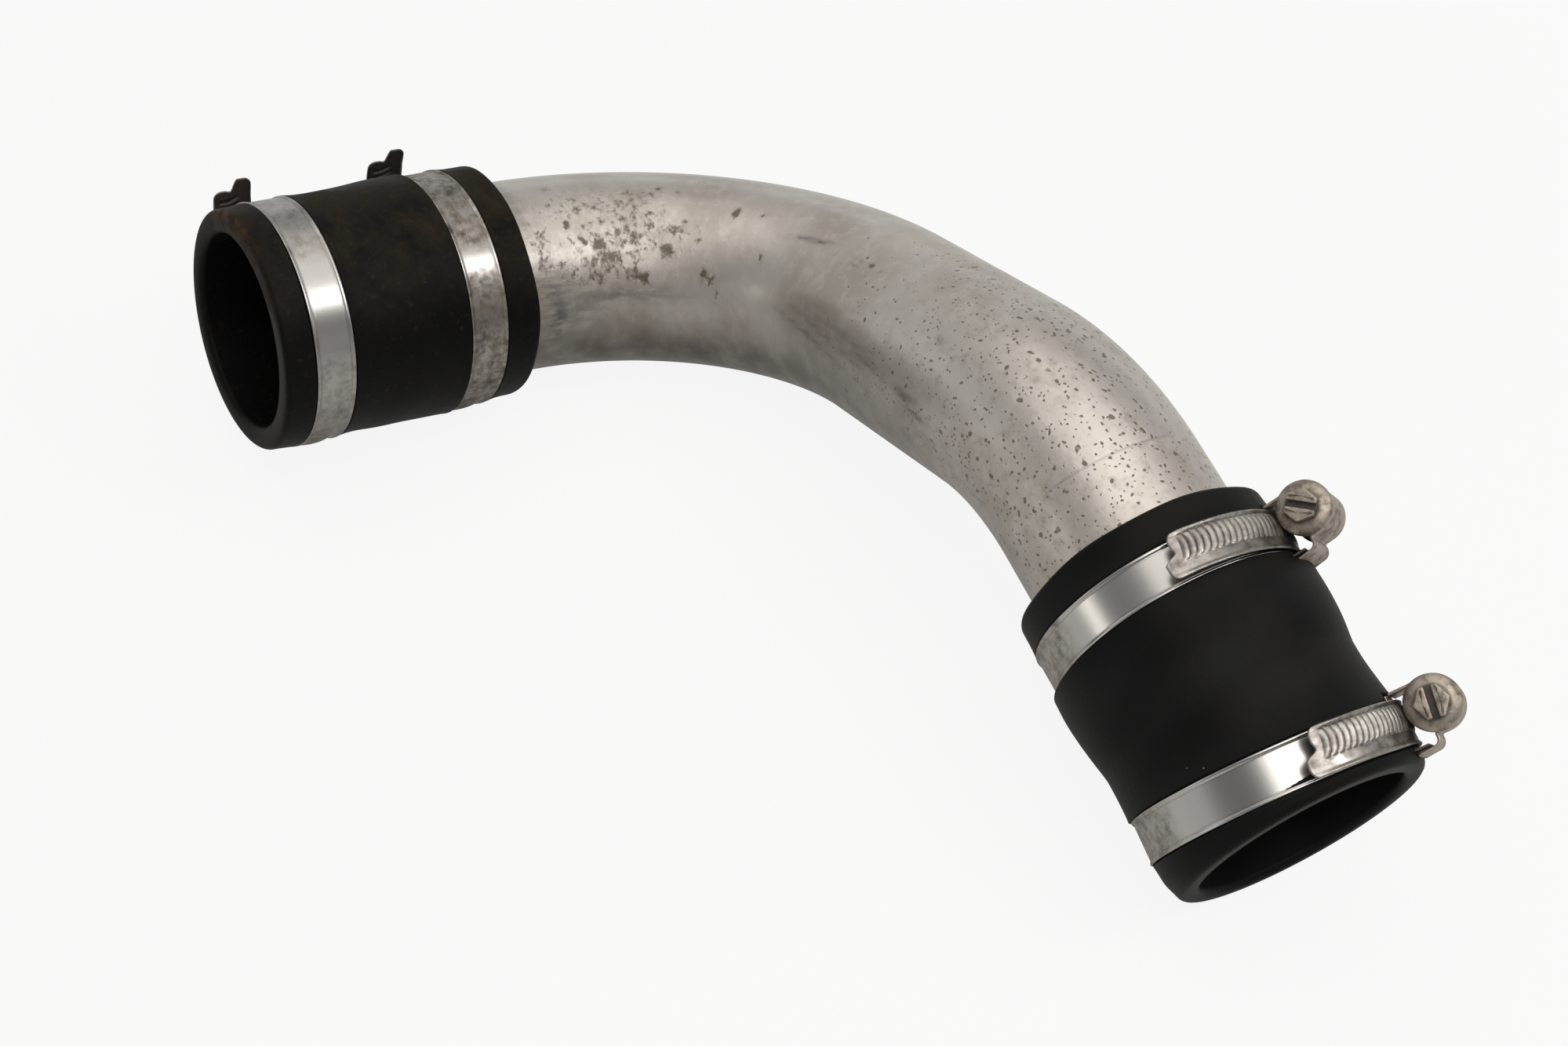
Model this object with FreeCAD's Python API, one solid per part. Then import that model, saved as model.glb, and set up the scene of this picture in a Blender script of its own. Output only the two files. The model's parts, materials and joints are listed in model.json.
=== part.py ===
import FreeCAD, Part
import math
import os

# Intercooler pipe: a bent aluminium charge pipe with a rubber coupler hose on each end, each hose held by
# two worm-drive clamps. Lengths are in millimetres, angles in degrees.

# The charge pipe runs from the inlet end (on the left as it lies) to the outlet end
pipe_diameter = 60.0
pipe_wall = 2.0
bend_radius = 88.0
first_bend = 94.0
bend_twist = 92.0
second_bend = 32.0
inlet_bare = 2.0
middle_straight = 58.0
outlet_bare = 20.0
bead_base = 9.0
bead_crest = 3.0
bead_height = 1.5
bead_setback = 7.0

# The coupler hoses
hose_wall = 6.2
hose_grip = 38.0
inlet_hose_length = 81.5
outlet_hose_length = 83.5
free_bore_shrink = 0.8
inlet_mouth_squeeze = 0.2
outlet_mouth_squeeze = 1.2
mouth_taper = 2.5
hose_swell = 0.8
hose_swell_length = 22.0
hose_swell_crest = 8.0

# The clamps: every band, housing and screw is made to these sizes
band_width = 12.0
band_thickness = 0.8
band_bite = 0.6
climb_angle = 60.0
climb_rise = 1.2
tail_lobe_step = 2.8
tail_lobe_split = -0.3
tail_corner_round = 2.6
tail_step_round = 1.2
housing_length = 14.0
housing_sheet = 0.9
housing_base_sheet = 0.6
housing_foot_side = 7.8
housing_shoulder = 3.0
screw_offset = -1.4
worm_diameter = 11.4
flange_diameter = 14.6
flange_thickness = 1.6
flange_dome = 1.4
hexagon_flats = 7.2
hexagon_height = 2.8
slot_width = 1.6
slot_depth = 1.8
end_collar_diameter = 12.8
end_collar_thickness = 1.0

# How each clamp sits: distance of its middle from the pipe-side rim of its hose, turn of its housing round
# the hose, lean of its ring and the side it leans to, and the radius and length of its tail
clamps = {
    "inlet_mouth_clamp": {"hose": "inlet", "station": 66.5, "turn": 181.0, "lean": 0.0, "lean_side": 0.0,
                          "tail_radius": 250.0, "tail_length": 31.5},
    "inlet_pipe_clamp": {"hose": "inlet", "station": 17.2, "turn": 185.0, "lean": 0.0, "lean_side": 0.0,
                         "tail_radius": 140.0, "tail_length": 32.0},
    "outlet_pipe_clamp": {"hose": "outlet", "station": 16.1, "turn": 138.0, "lean": 0.0, "lean_side": 0.0,
                          "tail_radius": 42.0, "tail_length": 47.8},
    "outlet_mouth_clamp": {"hose": "outlet", "station": 69.0, "turn": 134.0, "lean": 8.4, "lean_side": 0.0,
                           "tail_radius": 42.0, "tail_length": 46.0},
}

# Clearances
seat_gap = 0.05
edge_gap = 0.15
running_gap = 0.3

# How the part lies on the ground
lay_yaw = 32.14
lay_pitch = 10.86
lay_roll = 163.91

pipe_radius = pipe_diameter / 2
hose_radius = pipe_radius + hose_wall
band_inner_radius = hose_radius - band_bite
band_middle_radius = band_inner_radius + band_thickness / 2
climb_spread = climb_rise / (1 - math.cos(math.radians(climb_angle)))
screw_height = (band_middle_radius + climb_rise + band_thickness / 2 + running_gap
                + flange_diameter / 2)
dome_radius = worm_diameter / 2 + running_gap + housing_sheet

vector = FreeCAD.Vector
along_path = vector(1, 0, 0)
to_bend_centre = vector(0, 1, 0)
bend_axis = vector(0, 0, 1)


def shift(x, y=0, z=0):
    return FreeCAD.Placement(vector(x, y, z), FreeCAD.Rotation())


def spin(axis, angle):
    return FreeCAD.Placement(vector(0, 0, 0), FreeCAD.Rotation(axis, angle))


def placed(shape, placement):
    moved = shape.copy()
    moved.Placement = placement.multiply(moved.Placement)
    return moved


def polar(radius, angle):
    turn = math.radians(angle)
    return vector(radius * math.cos(turn), radius * math.sin(turn), 0)


def arc_edge(centre, radius, start, end):
    middle = (start + end) / 2
    points = [centre + polar(radius, angle) for angle in (start, middle, end)]
    return Part.Arc(*points).toShape()


def line_edge(start, end):
    return Part.LineSegment(start, end).toShape()


def swept_rod(radius):
    # A solid rod along the pipe's path: straight, bend, straight, twisted bend, straight
    section = Part.Face(Part.Wire(Part.makeCircle(radius, vector(0, 0, 0), along_path)))
    here = FreeCAD.Placement()
    lengths = {"first": hose_grip + inlet_bare, "middle": middle_straight, "last": outlet_bare + hose_grip}
    pieces = []

    def straight(length):
        pieces.append(placed(section.extrude(along_path * length), here))
        return here.multiply(shift(length))

    def bend(angle):
        pieces.append(placed(section.revolve(to_bend_centre * bend_radius, bend_axis, angle), here))
        turn = shift(0, bend_radius).multiply(spin(bend_axis, angle)).multiply(shift(0, -bend_radius))
        return here.multiply(turn)

    here = straight(lengths["first"])
    here = bend(first_bend)
    here = straight(lengths["middle"])
    here = here.multiply(spin(along_path, bend_twist))
    here = bend(second_bend)
    here = straight(lengths["last"])
    rod = pieces[0].multiFuse(pieces[1:]).removeSplitter()
    return rod, here


def bead_ring(wall_radius, clearance, placement):
    # A raised bead: a ring with sloping flanks that stands out from a wall of the given radius
    base = bead_base / 2 + clearance
    crest = bead_crest / 2 + clearance
    root = wall_radius - bead_height
    top = wall_radius + bead_height
    corners = [(-base, root), (-base, wall_radius), (-crest, top), (crest, top), (base, wall_radius),
               (base, root)]
    outline = Part.makePolygon([vector(x, radius, 0) for x, radius in corners + corners[:1]])
    return placed(Part.Face(outline).revolve(vector(0, 0, 0), along_path, 360), placement)


def charge_pipe():
    outside, outlet_end = swept_rod(pipe_radius)
    inside, outlet_end = swept_rod(pipe_radius - pipe_wall)
    for station in (shift(bead_setback), outlet_end.multiply(shift(-bead_setback))):
        outside = outside.fuse(bead_ring(pipe_radius, 0, station))
    return outside.cut(inside), outlet_end


def hose(length, mouth_squeeze):
    # The hose runs along +X from its pipe-side rim to its mouth, swollen where it covers the pipe's bead
    bead_station = hose_grip - bead_setback
    swollen = hose_radius + hose_swell
    outline = [
        (0, 0),
        (0, hose_radius),
        (bead_station - hose_swell_length / 2, hose_radius),
        (bead_station - hose_swell_crest / 2, swollen),
        (bead_station + hose_swell_crest / 2, swollen),
        (bead_station + hose_swell_length / 2, hose_radius),
        (length - mouth_taper, hose_radius),
        (length, hose_radius - mouth_squeeze),
        (length, 0),
        (0, 0),
    ]
    section = Part.Face(Part.makePolygon([vector(x, radius, 0) for x, radius in outline]))
    body = section.revolve(vector(0, 0, 0), along_path, 360)
    grip_radius = pipe_radius + seat_gap
    grip_bore = Part.makeCylinder(grip_radius, hose_grip + seat_gap, vector(0, 0, 0), along_path)
    free_bore = Part.makeCylinder(pipe_radius - free_bore_shrink, length, vector(0, 0, 0), along_path)
    bead = bead_ring(grip_radius, seat_gap, shift(bead_station))
    return body.cut(grip_bore.fuse(bead)).cut(free_bore)


def strip_outline(tail_radius, tail_length):
    # The band's edge-on outline: the ring, then a wider arc that climbs over the housing's base, then the tail
    ring_start = math.degrees(math.asin((housing_length / 2 + edge_gap) / band_inner_radius))
    ring_end = 360 - climb_angle
    climb_centre = polar(climb_spread, 180 - climb_angle)
    climb_radius = band_middle_radius + climb_spread
    climb_end = climb_centre + vector(climb_radius, 0, 0)
    tail_centre = climb_end - vector(tail_radius, 0, 0)
    tail_turn = math.degrees(tail_length / tail_radius)
    arcs = [
        (vector(0, 0, 0), band_middle_radius, ring_start, ring_end),
        (climb_centre, climb_radius, -climb_angle, 0),
        (tail_centre, tail_radius, 0, tail_turn),
    ]
    half = band_thickness / 2
    inner = [arc_edge(centre, radius - half, start, end) for centre, radius, start, end in arcs]
    outer = [arc_edge(centre, radius + half, start, end) for centre, radius, start, end in arcs]
    tail_cap = line_edge(inner[-1].Vertexes[-1].Point, outer[-1].Vertexes[-1].Point)
    start_cap = line_edge(outer[0].Vertexes[0].Point, inner[0].Vertexes[0].Point)
    outline = Part.Wire(Part.__sortEdges__(inner + outer + [tail_cap, start_cap]))
    tip = tail_centre + polar(tail_radius, tail_turn)
    return outline, tip, tail_turn


def clamp_band(tail_radius, tail_length):
    # The ring's axis is Z and the housing sits on +X; the tail leaves towards +Y and ends in a long lobe and a
    # short one beside it
    outline, tip, tail_turn = strip_outline(tail_radius, tail_length)
    half = band_width / 2
    band = Part.Face(outline).extrude(vector(0, 0, band_width))
    band.translate(vector(0, 0, -half))
    step = Part.makeBox(band_thickness * 4, tail_lobe_step * 2, half + tail_lobe_split + edge_gap)
    step.translate(vector(-band_thickness * 2, -tail_lobe_step, -half - edge_gap))
    band = band.cut(placed(step, shift(tip.x, tip.y).multiply(spin(bend_axis, tail_turn))))
    for corner_round, at_side in ((tail_corner_round, True), (tail_step_round, False)):
        corners = [edge for edge in band.Edges if is_tail_corner(edge, tip, at_side)]
        band = band.makeFillet(corner_round, corners)
    return band


def is_tail_corner(edge, tip, at_side):
    middle = edge.CenterOfMass
    near_tip = math.hypot(middle.x - tip.x, middle.y - tip.y) < tail_lobe_step + band_thickness
    across = edge.Curve.TypeId == "Part::GeomLine" and abs(edge.tangentAt(edge.FirstParameter).z) < 0.5
    through = across and edge.Length < band_thickness * 1.2
    return near_tip and through and (abs(middle.z) > band_width / 2 - edge_gap) == at_side


def housing_section(inset, bottom):
    # Drawn in the XZ plane: an arch over the screw, one straight flank, and one that steps out to a foot
    radius = dome_radius - inset
    near = screw_offset - radius
    far = screw_offset + radius
    shoulder = screw_height - housing_shoulder - inset
    foot = housing_foot_side - inset
    arch = Part.Arc(vector(screw_height, 0, near), vector(screw_height + radius, 0, screw_offset),
                    vector(screw_height, 0, far))
    corners = [(screw_height, far), (shoulder, far), (shoulder, foot), (bottom, foot), (bottom, near),
               (screw_height, near)]
    flanks = Part.makePolygon([vector(x, 0, z) for x, z in corners])
    return Part.Face(Part.Wire([arch.toShape()] + flanks.Edges))


def round_bar(radius, length):
    return Part.makeCylinder(radius, length, vector(0, 0, -length / 2))


def clamp_housing():
    # A pressed sheet arch whose base curves with the hose and lets the band's second turn pass over it
    sheet_end = vector(0, housing_length, 0)
    below = band_inner_radius - dome_radius
    arch = housing_section(0, below).extrude(sheet_end)
    arch.translate(-sheet_end / 2)
    window = housing_section(housing_sheet, below).extrude(sheet_end)
    window.translate(-sheet_end / 2)
    arch = arch.cut(round_bar(band_inner_radius, dome_radius * 4))
    window = window.cut(round_bar(band_inner_radius + housing_base_sheet, dome_radius * 4))
    return arch.cut(window)


def clamp_screw():
    # The worm lies along Y, kept by its flanged head in front of the housing and a peened collar behind it
    forward = vector(0, 1, 0)
    head_start = housing_length / 2 + running_gap
    collar_start = -housing_length / 2 - running_gap - end_collar_thickness
    axis_point = vector(screw_height, 0, screw_offset)
    worm_length = head_start - collar_start
    worm = Part.makeCylinder(worm_diameter / 2, worm_length, axis_point + forward * collar_start, forward)
    collar = Part.makeCylinder(end_collar_diameter / 2, end_collar_thickness,
                               axis_point + forward * collar_start, forward)
    flange = Part.makeCylinder(flange_diameter / 2, flange_thickness, axis_point + forward * head_start, forward)
    face = head_start + flange_thickness
    dome_end_radius = hexagon_flats / math.sqrt(3)
    dome = Part.makeCone(flange_diameter / 2, dome_end_radius, flange_dome, axis_point + forward * face, forward)
    hexagon = hexagon_prism(axis_point + forward * face, flange_dome + hexagon_height)
    screw = worm.multiFuse([collar, flange, dome, hexagon])
    top = face + flange_dome + hexagon_height
    slot = Part.makeBox(hexagon_flats * 2, slot_depth, slot_width)
    slot.translate(axis_point + vector(-hexagon_flats, top - slot_depth, -slot_width / 2))
    return screw.cut(slot).removeSplitter()


def hexagon_prism(base, height):
    corner = hexagon_flats / math.sqrt(3)
    turns = [math.radians(60 * index) for index in range(7)]
    points = [base + vector(corner * math.cos(turn), 0, corner * math.sin(turn)) for turn in turns]
    return Part.Face(Part.makePolygon(points)).extrude(vector(0, height, 0))


def clamp_seat():
    # What a clamp presses into its hose: a groove for the ring and a wider one for the housing's base
    reach = hose_radius * 2
    groove = round_bar(reach, band_width + edge_gap * 2)
    base_depth = housing_length + edge_gap * 2
    base_start = screw_offset - dome_radius - edge_gap
    base_end = housing_foot_side + edge_gap
    base = Part.makeBox(reach, base_depth, base_end - base_start)
    base.translate(vector(0, -base_depth / 2, base_start))
    return groove.fuse(base).cut(round_bar(band_inner_radius - seat_gap, band_width * 4))


def clamp_placement(values, outlet_end):
    if values["hose"] == "inlet":
        station = shift(hose_grip - values["station"])
    else:
        station = outlet_end.multiply(shift(values["station"] - hose_grip))
    upright = spin(vector(1, 1, 1), 120)
    lean_axis = polar(1, values["lean_side"] + 90)
    lean = spin(lean_axis, values["lean"])
    turn = spin(vector(0, 0, 1), values["turn"])
    return station.multiply(upright).multiply(lean).multiply(turn)


def build():
    pipe, outlet_end = charge_pipe()
    inlet_placement = shift(hose_grip).multiply(spin(bend_axis, 180))
    outlet_placement = outlet_end.multiply(shift(-hose_grip))
    hoses = {
        "inlet": placed(hose(inlet_hose_length, inlet_mouth_squeeze), inlet_placement),
        "outlet": placed(hose(outlet_hose_length, outlet_mouth_squeeze), outlet_placement),
    }
    nodes = {"charge_pipe": pipe}
    for name, values in clamps.items():
        placement = clamp_placement(values, outlet_end)
        hoses[values["hose"]] = hoses[values["hose"]].cut(placed(clamp_seat(), placement))
        band = clamp_band(values["tail_radius"], values["tail_length"])
        nodes[name + "_band"] = placed(band, placement)
        nodes[name + "_housing"] = placed(clamp_housing(), placement)
        nodes[name + "_screw"] = placed(clamp_screw(), placement)
    nodes["inlet_hose"] = hoses["inlet"]
    nodes["outlet_hose"] = hoses["outlet"]
    return nodes, outlet_end


def laid_down(nodes):
    # The part lies on the ground: lowest point at height zero, centred over the origin
    lay = FreeCAD.Placement(vector(0, 0, 0), FreeCAD.Rotation(lay_yaw, lay_pitch, lay_roll))
    turned = {name: placed(shape, lay) for name, shape in nodes.items()}
    box = FreeCAD.BoundBox()
    for shape in turned.values():
        box.add(shape.optimalBoundingBox(False))
    drop = shift(-box.Center.x, -box.Center.y, -box.ZMin)
    return {name: placed(shape, drop) for name, shape in turned.items()}, drop.multiply(lay)


nodes, outlet_end = build()
nodes, lay = laid_down(nodes)
os.makedirs("parts", exist_ok=True)
for name, shape in nodes.items():
    solid = shape.Solids[0]
    print(name, len(shape.Solids), solid.isValid(), round(solid.Volume, 1))
    solid.exportStep("parts/" + name + ".step")
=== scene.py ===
import bmesh
import bpy
import json
import numpy as np
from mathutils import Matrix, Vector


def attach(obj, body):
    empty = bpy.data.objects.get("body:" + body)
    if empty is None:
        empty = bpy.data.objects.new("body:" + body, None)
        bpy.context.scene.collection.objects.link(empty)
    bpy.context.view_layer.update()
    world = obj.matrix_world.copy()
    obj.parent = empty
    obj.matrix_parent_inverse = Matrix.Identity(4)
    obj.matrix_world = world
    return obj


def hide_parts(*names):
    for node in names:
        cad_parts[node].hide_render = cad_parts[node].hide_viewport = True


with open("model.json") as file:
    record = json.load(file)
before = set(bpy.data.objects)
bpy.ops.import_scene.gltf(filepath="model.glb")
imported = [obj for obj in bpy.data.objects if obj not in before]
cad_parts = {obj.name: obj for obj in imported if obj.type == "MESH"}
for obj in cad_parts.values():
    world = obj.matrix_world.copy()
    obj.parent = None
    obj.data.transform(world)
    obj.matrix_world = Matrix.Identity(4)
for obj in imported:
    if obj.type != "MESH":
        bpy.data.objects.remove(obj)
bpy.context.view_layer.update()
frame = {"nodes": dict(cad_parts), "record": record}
record = frame["record"]
print("frame loaded with", len(frame["nodes"]), "solids")

mm = 0.001
weldGap = 1e-7

# The line that the pipe follows, in millimetres and degrees, as the solids have it
route = {"firstStraight": 40.0, "firstBend": 94.0, "middleStraight": 58.0, "bendTwist": 92.0,
         "secondBend": 32.0, "lastStraight": 58.0, "bendRadius": 88.0,
         "yaw": 32.14, "pitch": 10.86, "roll": 163.91, "seatGap": 0.05}
bendLength = {leg: np.radians(route[leg]) * route["bendRadius"]
              for leg in ("firstBend", "secondBend")}
routeLength = (route["firstStraight"] + bendLength["firstBend"] + route["middleStraight"]
               + bendLength["secondBend"] + route["lastStraight"])


def turned(axis, degrees):
    # turn about a unit axis: identity + sin(angle) times the cross matrix + (1 - cos(angle))
    # times its square
    x, y, z = np.asarray(axis, float) / np.linalg.norm(axis)
    cross = np.array([[0, -z, y], [z, 0, -x], [-y, x, 0]])
    angle = np.radians(np.asarray(degrees, float))[..., None, None]
    return np.eye(3) + np.sin(angle) * cross + (1 - np.cos(angle)) * (cross @ cross)


def routeStart():
    # the pipe's inlet end: half a bore length inside the inlet mount
    mount = next(m for m in record["mounts"] if m["name"] == "inlet_hose_bore")
    inward = -np.array(mount["axis"])
    depth = mount["dims"]["length_mm"] / 2 + route["seatGap"]
    return np.array(mount["pos_m"]) / mm + inward * depth


def routeFrames(s):
    # point and axes (forward, side, up as columns) at each distance s along the line: a straight
    # adds forward times the run, a bend turns point and axes about its centre, which lies
    # bendRadius to one side
    s = np.asarray(s, float)
    point = np.zeros(s.shape + (3,))
    axes = np.zeros(s.shape + (3, 3))
    here = routeStart()
    turn = (turned((0, 0, 1), route["yaw"]) @ turned((0, 1, 0), route["pitch"])
            @ turned((1, 0, 0), route["roll"]))
    begun = 0.0
    legs = [("firstStraight", 0), ("firstBend", 0), ("middleStraight", 0),
            ("secondBend", route["bendTwist"]), ("lastStraight", 0)]
    for leg, twist in legs:
        reached = s >= begun if begun else np.ones(s.shape, bool)
        run = (s - begun)[reached]
        forward = turn[:, 0]
        if leg in bendLength:
            tilt = np.radians(twist)
            side = np.cos(tilt) * turn[:, 1] + np.sin(tilt) * turn[:, 2]
            axis = np.cross(forward, side)
            swung = lambda a: route["bendRadius"] * (np.sin(a) * forward + (1 - np.cos(a)) * side)
            angle = run / route["bendRadius"]
            point[reached] = here + swung(angle[:, None])
            axes[reached] = turned(axis, np.degrees(angle)) @ turn
            here = here + swung(np.radians(route[leg]))
            turn = turned(axis, route[leg]) @ turn
            begun += bendLength[leg]
        else:
            point[reached] = here + run[:, None] * forward
            axes[reached] = turn
            here = here + route[leg] * forward
            begun += route[leg]
    return point, axes


def spokes(axes, angle):
    # unit vectors across the line: cos(angle) times side + sin(angle) times up
    side, up = axes[:, None, :, 1], axes[:, None, :, 2]
    return np.cos(angle)[None, :, None] * side + np.sin(angle)[None, :, None] * up


def smoothStep(low, high, value):
    # 3 s^2 - 2 s^3, where s is the share of the way from low to high
    share = np.clip((value - low) / (high - low), 0, 1)
    return share * share * (3 - 2 * share)


def turnFrom(middle, degrees):
    # signed turn away from the middle, up to half a turn each way
    return (degrees - middle + 180) % 360 - 180


def rimmed(low, high, count, rim):
    # places from low to high that lie closer together along both rims
    edge = np.array(rim["steps"])
    inside = np.linspace(low + rim["margin"], high - rim["margin"], count)
    return np.concatenate([low + edge, inside, high - edge[::-1]])


def fromBorder(u, v):
    # distance of each point of a grid to the nearest of its four borders
    return np.minimum(np.minimum(u - u[0], u[-1] - u)[:, None],
                      np.minimum(v - v[0], v[-1] - v)[None, :])


def quadGrid(points, wrapU=False, wrapV=False):
    # each face joins four neighbours; a wrapped direction joins its last row to its first
    rows, columns = points.shape[:2]
    i, j = np.meshgrid(np.arange(rows - (not wrapU)), np.arange(columns - (not wrapV)),
                       indexing="ij")
    iNext, jNext = (i + 1) % rows, (j + 1) % columns
    faces = np.stack([i * columns + j, iNext * columns + j,
                      iNext * columns + jNext, i * columns + jNext], -1)
    return points.reshape(-1, 3), faces.reshape(-1, 4)


def gridNormal(points):
    # cross product of the two slopes of a grid surface
    normal = np.cross(np.gradient(points, axis=0), np.gradient(points, axis=1))
    return normal / (np.linalg.norm(normal, axis=-1, keepdims=True) + 1e-12)


def outward(surface):
    # turns the faces of a closed surface round where the volume they enclose comes out negative
    points, faces = surface
    a, b, c, d = (points[faces[:, k]] for k in range(4))
    volume = (a * np.cross(b, c)).sum() + (a * np.cross(c, d)).sum()
    return (points, faces) if volume > 0 else (points, faces[:, ::-1])


def sheetGrid(middle, edgeDistance, half):
    # a thin sheet: middle surface plus and minus half the thickness along its normal; the
    # thickness falls to nothing over a quarter round at the edge, where the two sides are joined
    rows, columns = middle.shape[:2]
    reach = np.clip(edgeDistance / half, 0, 1)
    thickness = half * np.sqrt(np.clip(1 - (1 - reach) ** 2, 0, 1))
    offset = gridNormal(middle) * thickness[..., None]
    upper, faces = quadGrid(middle + offset)
    lower = (middle - offset).reshape(-1, 3)
    index = np.arange(rows * columns).reshape(rows, columns)
    under = index + rows * columns
    for border in (np.s_[0, :], np.s_[-1, :], np.s_[:, 0], np.s_[:, -1]):
        under[border] = index[border]
    underFaces = under.reshape(-1)[faces][:, ::-1]
    return outward((np.concatenate([upper, lower]), np.concatenate([faces, underFaces])))


def joined(surfaces):
    # several surfaces as one
    counts = np.cumsum([0] + [len(points) for points, faces in surfaces])
    return (np.concatenate([points for points, faces in surfaces]),
            np.concatenate([faces + count for count, (points, faces) in zip(counts, surfaces)]))


def makePiece(name, surface, material, node, body, attributes):
    points, faces = surface
    used, faces = np.unique(faces, return_inverse=True)
    faces = faces.reshape(-1, 4)
    mesh = bpy.data.meshes.new(name)
    mesh.vertices.add(len(used))
    mesh.vertices.foreach_set("co", (points[used] * mm).astype(np.float32).ravel())
    mesh.loops.add(faces.size)
    mesh.loops.foreach_set("vertex_index", faces.astype(np.int32).ravel())
    mesh.polygons.add(len(faces))
    mesh.polygons.foreach_set("loop_start", np.arange(0, faces.size, 4, dtype=np.int32))
    for key, values in attributes.items():
        values = values[used].astype(np.float32)
        kind, field = ("FLOAT_VECTOR", "vector") if values.ndim == 2 else ("FLOAT", "value")
        mesh.attributes.new(key, kind, "POINT").data.foreach_set(field, values.ravel())
    mesh.update(calc_edges=True)
    weld = bmesh.new()  # closes the poles
    weld.from_mesh(mesh)
    bmesh.ops.remove_doubles(weld, verts=weld.verts, dist=weldGap)
    weld.to_mesh(mesh)
    weld.free()
    mesh.validate()
    mesh.polygons.foreach_set("use_smooth", np.ones(len(mesh.polygons), bool))
    piece = bpy.data.objects.new(name, mesh)
    bpy.context.scene.collection.objects.link(piece)
    mesh.materials.append(material)
    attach(piece, body)
    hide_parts(node)


# Nodes of the materials

def plug(tree, node, sockets):
    # a socket takes a number, a colour or another node's output
    for key, value in sockets.items():
        if isinstance(value, bpy.types.NodeSocket):
            tree.links.new(value, node.inputs[key])
        else:
            node.inputs[key].default_value = value


def put(tree, kind, sockets=None, **settings):
    made = tree.nodes.new("ShaderNode" + kind)
    for key, value in settings.items():
        setattr(made, key, value)
    plug(tree, made, sockets or {})
    return made


def newMaterial(name):
    material = bpy.data.materials.new(name)
    material.use_nodes = True
    tree = material.node_tree
    return material, tree, tree.nodes["Principled BSDF"]


def stretched(tree, source, scale, shift=(0, 0, 0)):
    sockets = {"Vector": source, "Scale": scale, "Location": shift}
    return put(tree, "Mapping", sockets).outputs["Vector"]


def noise(tree, vector, scale, detail, rough=0.55, warp=0.0):
    return put(tree, "TexNoise", {"Vector": vector, "Scale": scale, "Detail": detail,
                                  "Roughness": rough, "Distortion": warp}).outputs["Fac"]


def spread(tree, value, low, high, toLow=0.0, toHigh=1.0):
    # a soft step from toLow to toHigh while the value goes from low to high
    sockets = {"Value": value, "From Min": low, "From Max": high,
               "To Min": toLow, "To Max": toHigh}
    return put(tree, "MapRange", sockets, interpolation_type="SMOOTHSTEP").outputs["Result"]


def mottled(tree, vector, scale, detail, rough, low, high, toLow=0.0, toHigh=1.0, warp=0.0):
    # noise as a soft step between two of its levels
    return spread(tree, noise(tree, vector, scale, detail, rough, warp), low, high, toLow, toHigh)


def maths(tree, operation, first, second):
    return put(tree, "Math", {0: first, 1: second}, operation=operation).outputs["Value"]


def times(tree, first, second):
    return maths(tree, "MULTIPLY", first, second)


def blended(tree, share, first, second):
    return put(tree, "Mix", {0: share, 6: first, 7: second}, data_type="RGBA").outputs[2]


def layered(tree, finish, ground, masks):
    # lays paints over the ground colour in turn, each by its mask times how well it covers
    colour = finish[ground]
    for kind, mask in masks.items():
        share = times(tree, mask, finish["cover"].get(kind, 1.0))
        colour = blended(tree, share, colour, finish[kind])
    return colour


def bumped(tree, height, strength, depth):
    sockets = {"Height": height, "Strength": strength, "Distance": depth}
    return put(tree, "Bump", sockets).outputs["Normal"]


def objectCoords(tree):
    return put(tree, "TexCoord").outputs["Object"]


def painted(tree, name, output="Fac"):
    return put(tree, "Attribute", attribute_name=name).outputs[output]


pitShape = {"shakeScale": 0.9, "shake": 1.1, "smallest": 0.5, "rim": 0.6}


def pits(tree, vector, cell, size, share):
    # scattered spots: near the middle of a cell, in the share of cells whose random number is low
    shape = pitShape
    cloud = put(tree, "TexNoise", {"Vector": vector, "Scale": shape["shakeScale"] / cell})
    shaken = put(tree, "VectorMath", {0: cloud.outputs["Color"], 1: (0.5, 0.5, 0.5)},
                 operation="SUBTRACT").outputs[0]
    moved = put(tree, "VectorMath", {0: shaken, 1: (shape["shake"] * cell,) * 3, 2: vector},
                operation="MULTIPLY_ADD").outputs[0]
    cells = put(tree, "TexVoronoi", {"Vector": moved, "Scale": 1 / cell})
    pick = put(tree, "SeparateColor", {0: cells.outputs["Color"]})
    here = maths(tree, "LESS_THAN", pick.outputs[0], share)
    wide = spread(tree, pick.outputs[1], 0, 1, shape["smallest"] * size, size)
    near = spread(tree, cells.outputs["Distance"], wide, times(tree, wide, shape["rim"]))
    return times(tree, near, here)


# The finishes: paints, how far some of them cover, and noise by scale, detail and roughness, then
# the two levels between which a mark grows, and its range if that isn't 0 to 1

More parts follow.
